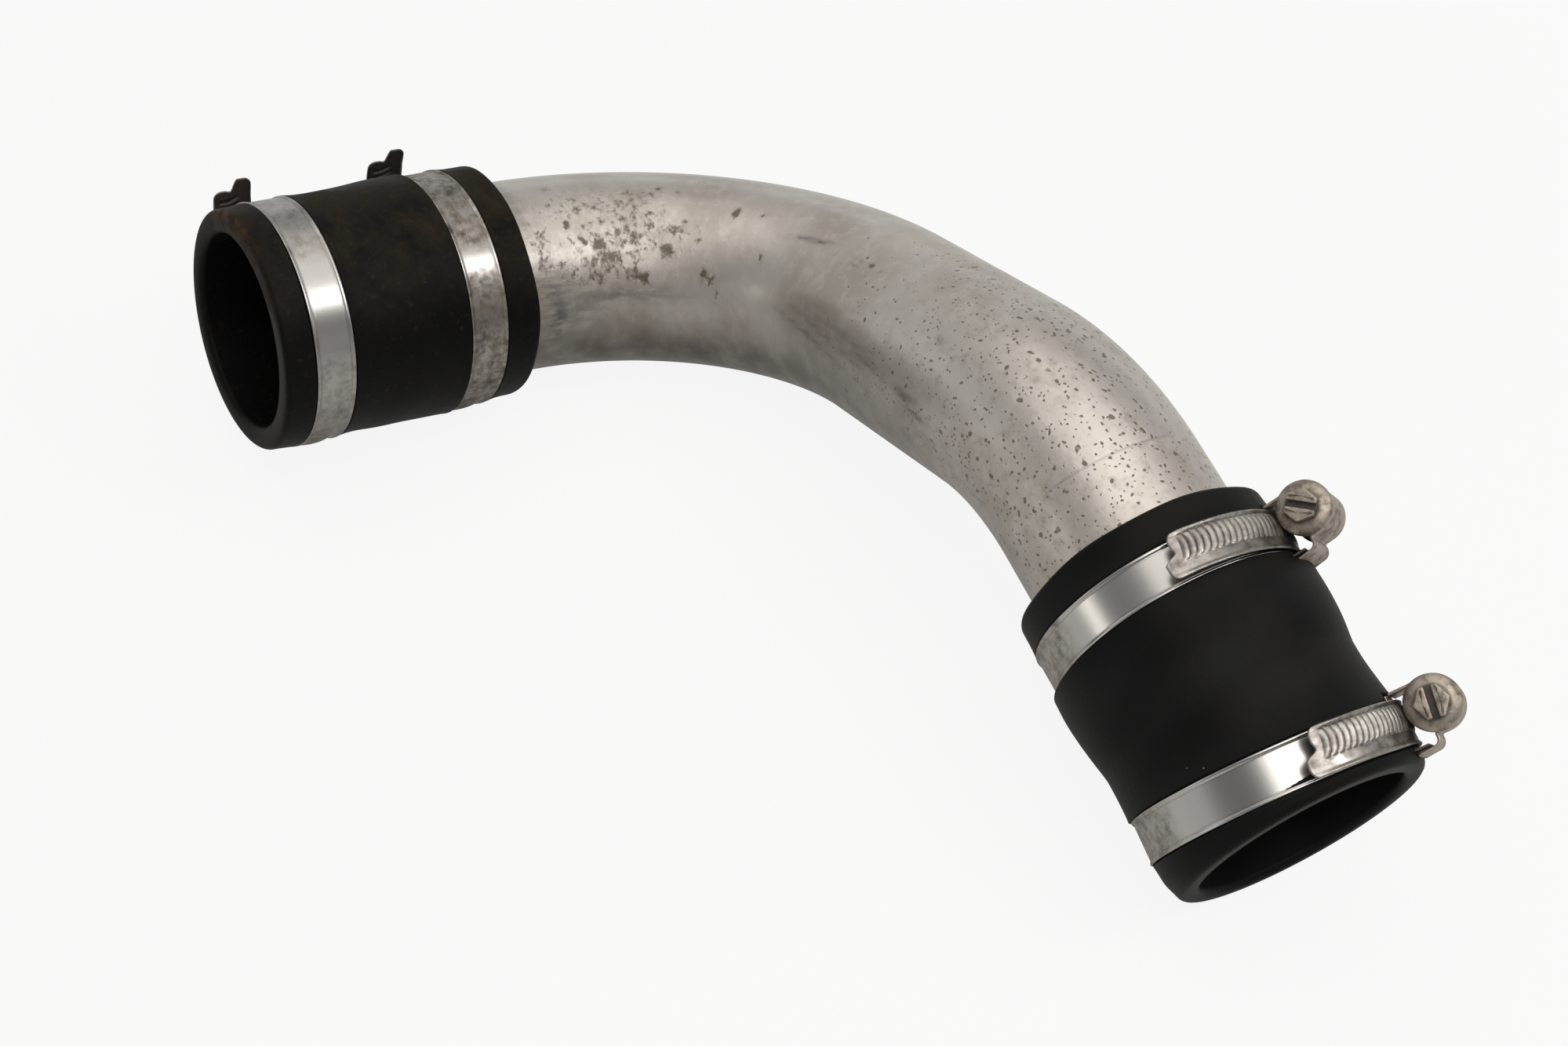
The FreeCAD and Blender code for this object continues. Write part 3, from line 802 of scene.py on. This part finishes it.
def evenly(line, step):
    # the same line with points at even distances
    length = np.append(0, np.cumsum(np.linalg.norm(np.diff(line, axis=0), axis=1)))
    at = np.linspace(0, length[-1], int(length[-1] / step) + 1)
    return np.stack([np.interp(at, length, line[:, k]) for k in range(line.shape[1])], -1), at


def buildHousing(name, setting):
    # a pressed sheet: straight flank, half round arch over the screw, a step out and a foot on
    # the other side
    size, grid = housingSize, housingSize["grid"]
    near, far = size["offset"] - size["arch"], size["offset"] + size["arch"]
    turn = np.linspace(-np.pi / 2, np.pi / 2, grid["archSteps"])
    arch = np.stack([size["screwAt"] + size["arch"] * np.cos(turn),
                     size["offset"] + size["arch"] * np.sin(turn)], -1)
    skirt = filletedLine([(size["screwAt"], far), (size["shoulder"], far),
                          (size["shoulder"], size["foot"]),
                          (size["bottom"], size["foot"] + size["footSplay"])], size["bends"])
    section, at = evenly(np.concatenate([[(size["bottom"], near)], arch, skirt[1:]]),
                         grid["sectionStep"])
    along = rimmed(size["from"], size["to"], grid["along"], grid)
    arched = sheetGrid(gridOf(section[:, :1], along[None, :], section[:, 1:]),
                       fromBorder(at, along), size["sheet"] / 2)
    # the base: a sheet curved with the hose
    spin = np.arcsin(along / size["base"])[:, None]
    wide = rimmed(near, size["foot"] + size["baseOver"], grid["wide"], grid)
    plate = sheetGrid(gridOf(size["base"] * np.cos(spin), size["base"] * np.sin(spin),
                             wide[None, :]), fromBorder(along, wide), size["baseSheet"] / 2)
    # the lug: an upturned strip of the base that the foot folds round
    tall = rimmed(size["lugFrom"], size["lugTo"], grid["tall"], grid)
    strip = along[2:-2]
    lug = sheetGrid(gridOf(tall[:, None], strip[None, :], size["lugAt"]),
                    fromBorder(tall, strip), size["baseSheet"] / 2)
    surface = placedOn(setting, joined([arched, plate, lug]))
    # the lug is painted dark as shade
    recessShade = np.zeros(len(surface[0]))
    recessShade[-len(lug[0]):] = size["lugShade"]
    makePiece(setting["piece"] + "Housing", surface,
              zincMaterial(setting["piece"] + "HousingZinc"), name + "_housing", "pipe_assembly",
              {"recessShade": np.maximum(recessShade, shadeBelow(surface[0]))})


# backEnd and flangeBack are outlines: distance along the screw, radius
screwSize = {"backEnd": [(-8.9, 0), (-8.9, 3.6), (-8.7, 4.0), (-8.3, 4.0), (-8.3, 6.2),
                         (-8.2, 6.4), (-7.5, 6.4), (-7.3, 6.2), (-7.3, 4.8)],
             "worm": 5.65, "threadDepth": 0.95, "threadPitch": 2.05, "threadFlanks": (0.25, 0.75),
             "threadFade": 0.6, "threadOver": 0.1, "wormFrom": -7.0, "wormTo": 7.0,
             "flangeBack": [(7.3, 4.8), (7.3, 6.2), (7.3, 6.7)], "head": 7.3, "flange": 7.3,
             "rimRound": 0.6, "rim": 8.6, "dome": 2.5, "bossFlats": 8.0, "bossFrom": 9.2,
             "bossTop": 13.1, "bossLap": 0.6, "slotWidth": 1.75, "slotFloor": 11.25,
             "cornerRound": 0.4, "bevel": 0.3, "wormRows": 150, "around": 72,
             "dirt": {"slotReach": 0.02, "slotDepth": 0.7, "foot": 0.75, "footAt": 4.3,
                      "footWidth": 0.55, "footBelow": 0.2, "behindFrom": 0.6, "behindTo": -0.3}}


def roundedOutline(corners, radius, inset):
    # a convex outline with round corners: every side moved in by inset, every corner an arc
    corners = np.asarray(corners, float)
    side = np.roll(corners, -1, 0) - corners
    normal = np.stack([side[:, 1], -side[:, 0]], -1) / np.linalg.norm(side, axis=1)[:, None]
    before = np.roll(normal, 1, 0)
    lean = 1 + (before * normal).sum(1)
    centre = corners - (inset + radius) * (before + normal) / lean[:, None]
    first = np.arctan2(before[:, 1], before[:, 0])
    sweep = (np.arctan2(normal[:, 1], normal[:, 0]) - first) % (2 * np.pi)
    angle = first[:, None] + sweep[:, None] * np.linspace(0, 1, 7)[None, :]
    arcs = centre[:, None, :] + radius * np.stack([np.cos(angle), np.sin(angle)], -1)
    return arcs.reshape(-1, 2)


def bossBlock(corners, low, high, place):
    # a block that rises from low to high over a rounded outline, bevelled at the top, closed at
    # both ends
    size = screwSize
    bend = np.linspace(0, np.pi / 2, 6)
    heights = np.concatenate([[low, low], high - size["bevel"] * (1 - np.sin(bend)), [high, high]])
    insets = np.concatenate([[0, 0], size["bevel"] * (1 - np.cos(bend)), [1.0, 0]])
    rings = np.stack([roundedOutline(corners, size["cornerRound"], inset) for inset in insets])
    rings[[0, -1]] = np.mean(corners, 0)
    return outward(quadGrid(place(rings[..., 0], rings[..., 1], heights[:, None]), wrapV=True))


def buildScrew(name, setting):
    size, dirt, housing = screwSize, screwSize["dirt"], housingSize
    tilt = np.radians(setting["slot"])

    def place(p, q, y):
        # p runs along the slot and q across it
        return gridOf(housing["screwAt"] + p * np.cos(tilt) - q * np.sin(tilt), y,
                      housing["offset"] + p * np.sin(tilt) + q * np.cos(tilt))

    # turned outline: peened end and collar, worm, flange with a round rim, dome
    worm = np.linspace(size["wormFrom"], size["wormTo"], size["wormRows"])
    rim = np.linspace(-np.pi / 2, 0, 8)
    rise = np.linspace(0, np.pi / 2, 26)[1:]
    edge = size["rimRound"]
    y, r = np.concatenate([
        size["backEnd"],
        np.stack([worm, np.full(len(worm), size["worm"])], -1),
        size["flangeBack"],
        np.stack([size["head"] + edge + edge * np.sin(rim),
                  size["flange"] - edge + edge * np.cos(rim)], -1),
        [(size["rim"], size["flange"])],
        np.stack([size["rim"] + size["dome"] * np.sin(rise), size["flange"] * np.cos(rise)], -1),
    ]).T
    angle = np.linspace(0, 2 * np.pi, size["around"], endpoint=False)
    # the worm's thread: the radius dips by a wave of (distance - pitch times turns)
    turns = (y[:, None] - size["threadPitch"] * angle[None, :] / (2 * np.pi)) / size["threadPitch"]
    over, fade = size["threadOver"], size["threadFade"]
    onWorm = smoothStep(size["wormFrom"] - over, size["wormFrom"] + fade, y) * (
        1 - smoothStep(size["wormTo"] - fade, size["wormTo"] + over, y))
    dip = smoothStep(*size["threadFlanks"], 0.5 - 0.5 * np.cos(2 * np.pi * turns))
    radius = np.clip(r[:, None] - size["threadDepth"] * dip * onWorm[:, None], 0, None)
    turnedPart = outward(quadGrid(place(radius * np.cos(angle), radius * np.sin(angle),
                                        y[:, None]), wrapV=True))
    # the boss: a hexagon whose flats face along the slot, whole below the slot and halved above it
    corner = np.radians(30 + 60 * np.arange(6))
    hexagon = size["bossFlats"] / np.sqrt(3) * np.stack([np.cos(corner), np.sin(corner)], -1)
    side = size["slotWidth"] / 2
    upper = np.concatenate([[(hexagon[0, 0], side)], hexagon[:3], [(hexagon[2, 0], side)]])
    stump = bossBlock(hexagon, size["bossFrom"], size["slotFloor"], place)
    halves = [bossBlock(outline, size["slotFloor"] - size["bossLap"], size["bossTop"], place)
              for outline in (upper, -upper)]
    points, faces = joined([turnedPart, stump] + halves)
    # painted shade: deep in the slot, round the foot of the boss and behind the flange
    fromAxis = points[:, [0, 2]] - (housing["screwAt"], housing["offset"])
    across = np.abs(fromAxis @ np.array([-np.sin(tilt), np.cos(tilt)]))
    out = np.linalg.norm(fromAxis, axis=1)
    high = points[:, 1]
    inSlot = (across < side + dirt["slotReach"]) & (high > size["slotFloor"] - dirt["slotDepth"])
    depth = (size["bossTop"] - high) / (size["bossTop"] - size["slotFloor"])
    recessShade = np.where(inSlot, np.clip(depth, 0, 1), 0)
    recessShade[len(turnedPart[0]):len(turnedPart[0]) + len(stump[0])] = 1.0
    onDome = (high > size["rim"]) & (high < size["slotFloor"] - dirt["footBelow"])
    foot = dirt["foot"] * np.exp(-((out - dirt["footAt"]) / dirt["footWidth"]) ** 2) * onDome
    behind = smoothStep(size["head"] + dirt["behindFrom"], size["head"] + dirt["behindTo"], high)
    surface = placedOn(setting, (points, faces))
    recessShade = np.max([recessShade, foot, behind, shadeBelow(surface[0])], axis=0)
    makePiece(setting["piece"] + "Screw", surface, zincMaterial(setting["piece"] + "ScrewZinc"),
              name + "_screw", name + "_screw", {"recessShade": recessShade})


# The coupler hoses

hoseSize = {"radius": 36.2, "bore": 29.2, "gripBore": 30.05, "beadBack": 7.0, "taper": 7.0,
            "bandInner": 35.55, "bandHalf": 6.15, "pressFade": (-0.15, 0.25), "puff": 0.55,
            "puffReach": 2.8, "saddleTurn": (11.5, 14.0), "saddleBack": 2.3, "saddleFront": 2.7,
            "rimRound": 1.7, "boreRound": 1.0, "wave": 0.22, "wander": 0.45, "wanderLength": 9,
            "rows": 270, "innerRows": 90, "around": 144,
            # slow waves of the wrapped cloth: length along the hose, count round it, phase, weight
            "waves": [(27, 3, 0.0, 1.0), (17, -4, 1.0, 0.6), (41, 2, 2.0, 0.4)],
            "dust": {"least": 0.1, "most": 1.5, "facing": (0.3, 0.98)},
            "rust": {"turn": 268, "halfTurn": 24, "back": 0.5, "width": 0.9, "outside": 33}}
hoseSetting = {
    "inlet_hose": {"piece": "inletHose", "length": 81.5, "squeeze": 0.2, "swell": 0.8,
                   "swellLength": 44.0, "dust": 0.75, "wrap": 0.0, "rust": 1.0},
    "outlet_hose": {"piece": "outletHose", "length": 83.5, "squeeze": 1.2, "swell": 1.8,
                    "swellLength": 33.0, "dust": 0.10, "wrap": 0.9, "rust": 0.0},
}


def hoseFrames(name, u):
    # frames at distances u from the hose's end on the pipe
    if name == "inlet_hose":
        return routeFrames(hoseGrip - u)
    return routeFrames(routeLength - hoseGrip + u)


def pressedByClamps(name, radius, at):
    # the rubber follows the strip under each clamp and puffs up beside it
    size = hoseSize
    for clamp, setting in clampSetting.items():
        if clamp.split("_")[0] != name.split("_")[0]:
            continue
        centre, turn = clampFrame(setting)
        x, y, z = np.moveaxis((at - centre) @ turn, -1, 0)
        near = 1 - smoothStep(*size["saddleTurn"], np.degrees(np.abs(np.arctan2(y, x))))
        beside = np.maximum(-size["bandHalf"] - size["saddleBack"] * near - z,
                            z - size["bandHalf"] - size["saddleFront"] * near)
        puff = np.exp(-np.clip(beside, 0, None) / size["puffReach"]) * (beside > 0)
        radius = radius + size["puff"] * puff
        pressed = 1 - smoothStep(*size["pressFade"], beside)
        radius = radius * (1 - pressed) + np.minimum(radius, size["bandInner"]) * pressed
    return radius


def buildHose(name, setting):
    size, dust, spot = hoseSize, hoseSize["dust"], hoseSize["rust"]
    length, edge, lip = setting["length"], size["rimRound"], size["boreRound"]
    corner = np.linspace(0, np.pi / 2, 9)
    outer = np.linspace(edge, length - edge, size["rows"])
    inner = np.linspace(length - lip, lip, size["innerRows"])
    mouth = np.stack([length - edge + edge * np.sin(corner), edge * (np.cos(corner) - 1)])[:, 1:]
    start = np.stack([edge - edge * np.cos(corner), edge * (np.sin(corner) - 1)])[:, :-1]
    along = np.concatenate([outer, mouth[0], [length], inner, [0.0], start[0]])
    angle = np.linspace(0, 2 * np.pi, size["around"], endpoint=False)
    point, axes = hoseFrames(name, along)
    spoke = spokes(axes, angle)
    # outside: swollen over the pipe's bead, drawn in at the mouth, with the waves of the cloth
    beadAt = hoseGrip - size["beadBack"]
    fromBead = (along - beadAt) / (setting["swellLength"] / 2)
    swell = setting["swell"] * np.clip(1 - fromBead ** 2, 0, 1) ** 1.5
    drawn = setting["squeeze"] * smoothStep(length - size["taper"], length, along)
    wrap = sum(weight * np.sin(2 * np.pi * along[:, None] / wave + count * angle[None, :] + phase)
               for wave, count, phase, weight in size["waves"]) / 2
    radius = (size["radius"] + swell - drawn)[:, None] + size["wave"] * wrap
    radius = pressedByClamps(name, radius, point[:, None, :] + spoke * size["radius"])
    first = len(outer) + len(mouth[1])
    radius[len(outer):first] += mouth[1][:, None]
    radius[-len(start[1]):] += start[1][:, None]
    # bore: the free end is narrower than the grip on the pipe, which has a groove for the bead
    grip = size["gripBore"] + beadRise(np.abs(inner - beadAt))
    bore = np.where(inner > hoseGrip + route["seatGap"], size["bore"], grip)
    bore = np.concatenate([[size["bore"] + lip], bore, [size["gripBore"] + lip]])
    radius[first:first + len(bore)] = bore[:, None]
    # the end on the pipe was cut by hand, so its edge wanders by part of a millimetre
    wander = size["wander"] * (np.sin(3 * angle + 1.0) + 0.6 * np.sin(7 * angle + 2.2)) / 1.6
    shift = (1 - smoothStep(0, size["wanderLength"], along))[:, None] * wander[None, :]
    at = point[:, None, :] + radius[..., None] * spoke + shift[..., None] * axes[:, None, :, 0]
    # rust from the clamp has run onto the upper rim of the mouth
    fromTop = (np.degrees(angle)[None, :] - spot["turn"]) / spot["halfTurn"]
    fromRim = (along[:, None] - length + spot["back"]) / spot["width"]
    rust = np.exp(-fromRim ** 2 - fromTop ** 2) * (radius > spot["outside"])
    settled = dust["least"] + dust["most"] * smoothStep(*dust["facing"], spoke[..., 2])
    makePiece(setting["piece"], outward(quadGrid(at, True, True)),
              rubberMaterial(setting["piece"] + "Rubber", setting["dust"]), name,
              "pipe_assembly",
              {"unbent": unbentCoords(along, angle, radius),
               "wrap": (setting["wrap"] * np.clip(0.5 + 0.5 * wrap, 0, 1)).ravel(),
               "settled": settled.ravel(), "rust": (setting["rust"] * rust).ravel()})


# Floor, light and camera

stageLook = {"ground": (0.62, 0.62, 0.61, 1), "groundRough": 0.9, "groundSize": 6.0,
             "whiteSeen": 0.89, "whiteAway": (0.25, 1.1), "whiteMirrored": 0.22,
             "skyLight": 0.28, "roomDim": 0.45, "roomFacing": (-0.7, 0.3),
             # what metal mirrors of the studio: brightness by height, with the white backdrop at
             # the horizon behind the object; the room towards the front is dimmer
             "mirrored": [(0.0, 1.0), (0.16, 0.85), (0.34, 0.42), (0.68, 0.36), (0.92, 0.50),
                          (1.0, 0.58)]}


def rayKinds(tree):
    # rays that see the background itself, and rays that mirror it
    kinds = put(tree, "LightPath").outputs
    seen = maths(tree, "MAXIMUM", kinds["Is Camera Ray"], kinds["Is Transmission Ray"])
    return seen, kinds["Is Glossy Ray"]


def buildGround():
    look = stageLook
    material, tree, shader = newMaterial("paleGround")
    plug(tree, shader, {"Base Color": look["ground"], "Roughness": look["groundRough"]})
    seen, glossy = rayKinds(tree)
    away = put(tree, "VectorMath", {0: objectCoords(tree)}, operation="LENGTH").outputs["Value"]
    direct = times(tree, seen, spread(tree, away, *look["whiteAway"], look["whiteSeen"], 1.0))
    share = maths(tree, "MAXIMUM", direct, times(tree, glossy, look["whiteMirrored"]))
    white = put(tree, "Emission", {"Color": (1, 1, 1, 1), "Strength": 1.0})
    mixed = put(tree, "MixShader", {0: share, 1: shader.outputs[0], 2: white.outputs[0]})
    plug(tree, tree.nodes["Material Output"], {"Surface": mixed.outputs[0]})
    size = look["groundSize"]
    corners = [(-size, -size, 0), (size, -size, 0), (size, size, 0), (-size, size, 0)]
    mesh = bpy.data.meshes.new("ground")
    mesh.from_pydata(corners, [], [(0, 1, 2, 3)])
    mesh.materials.append(material)
    ground = bpy.data.objects.new("ground", mesh)
    bpy.context.scene.collection.objects.link(ground)


def buildSky():
    look = stageLook
    world = bpy.data.worlds.new("studio")
    bpy.context.scene.world = world
    world.use_nodes = True
    tree = world.node_tree
    towards = put(tree, "SeparateXYZ", {0: put(tree, "TexCoord").outputs["Generated"]})
    ramp = put(tree, "ValToRGB", {0: towards.outputs["Z"]})
    while len(ramp.color_ramp.elements) < len(look["mirrored"]):
        ramp.color_ramp.elements.new(0.5)
    for element, (place, level) in zip(ramp.color_ramp.elements, look["mirrored"]):
        element.position = place
        element.color = (level, level, level, 1)
    seen, glossy = rayKinds(tree)
    room = spread(tree, towards.outputs["Y"], *look["roomFacing"], look["roomDim"], 1.0)
    mirrored = put(tree, "VectorMath", {0: ramp.outputs["Color"], "Scale": room},
                   operation="SCALE").outputs[0]
    level = blended(tree, glossy, (look["skyLight"],) * 3 + (1,), mirrored)
    level = blended(tree, seen, level, (1, 1, 1, 1))
    plug(tree, tree.nodes["Background"], {"Color": level, "Strength": 1.0})


lampAim = (0, 0, 0.04)
lamps = {
    "overheadLamp": {"at": (0.06, 0.05, 1.20), "size": (2.1, 1.3), "watts": 8.2,
                     "tint": (1.0, 0.95, 0.88)},
    "leftLamp": {"at": (-1.02, -0.30, 0.26), "size": (0.16, 0.22), "watts": 0.35,
                 "tint": (1.0, 0.97, 0.88)},
    "rightLamp": {"at": (0.74, -0.13, 0.80), "size": (0.30, 0.22), "watts": 1.5,
                  "tint": (1.0, 0.985, 0.96)},
    "frontLamp": {"at": (0.16, -0.58, 1.05), "size": (0.8, 0.6), "watts": 3.4,
                  "tint": (1.0, 0.98, 0.96)},
}


def buildLamps():
    for name, lamp in lamps.items():
        light = bpy.data.lights.new(name, "AREA")
        light.shape = "RECTANGLE"
        light.size, light.size_y = lamp["size"]
        light.energy = lamp["watts"]
        light.color = lamp["tint"]
        made = bpy.data.objects.new(name, light)
        bpy.context.scene.collection.objects.link(made)
        made.location = lamp["at"]
        aim = np.array(lampAim) - np.array(lamp["at"])
        made.rotation_euler = Vector(aim).to_track_quat("-Z", "Y").to_euler()


view = {"at": (-0.006674, -0.436797, 0.485614), "lens": 50.218, "sensor": 36, "nearest": 0.01,
        "right": (0.9996785, -0.0027754, 0.0252042), "down": (0.0152625, -0.7278991, -0.6855143),
        "forward": (0.0202487, 0.6856786, -0.7276227)}


def buildCamera():
    data = bpy.data.cameras.new("photoView")
    data.sensor_width = view["sensor"]
    data.sensor_fit = "HORIZONTAL"
    data.lens = view["lens"]
    data.clip_start = view["nearest"]
    camera = bpy.data.objects.new("photoView", data)
    bpy.context.scene.collection.objects.link(camera)
    axes = np.stack([view["right"], -np.array(view["down"]), -np.array(view["forward"])], -1)
    camera.rotation_mode = "QUATERNION"
    camera.rotation_quaternion = Matrix(axes.tolist()).to_quaternion()
    camera.location = view["at"]
    bpy.context.scene.camera = camera


bpy.context.scene.view_settings.view_transform = "Standard"
buildGround()
buildSky()
buildLamps()
buildCamera()
print("stage, lamps and camera ready")
buildPipe()
print("pipe ready")
for name, setting in hoseSetting.items():
    buildHose(name, setting)
print("hoses ready")
for name, setting in clampSetting.items():
    buildBand(name, setting)
    buildHousing(name, setting)
    buildScrew(name, setting)
print("clamps ready")
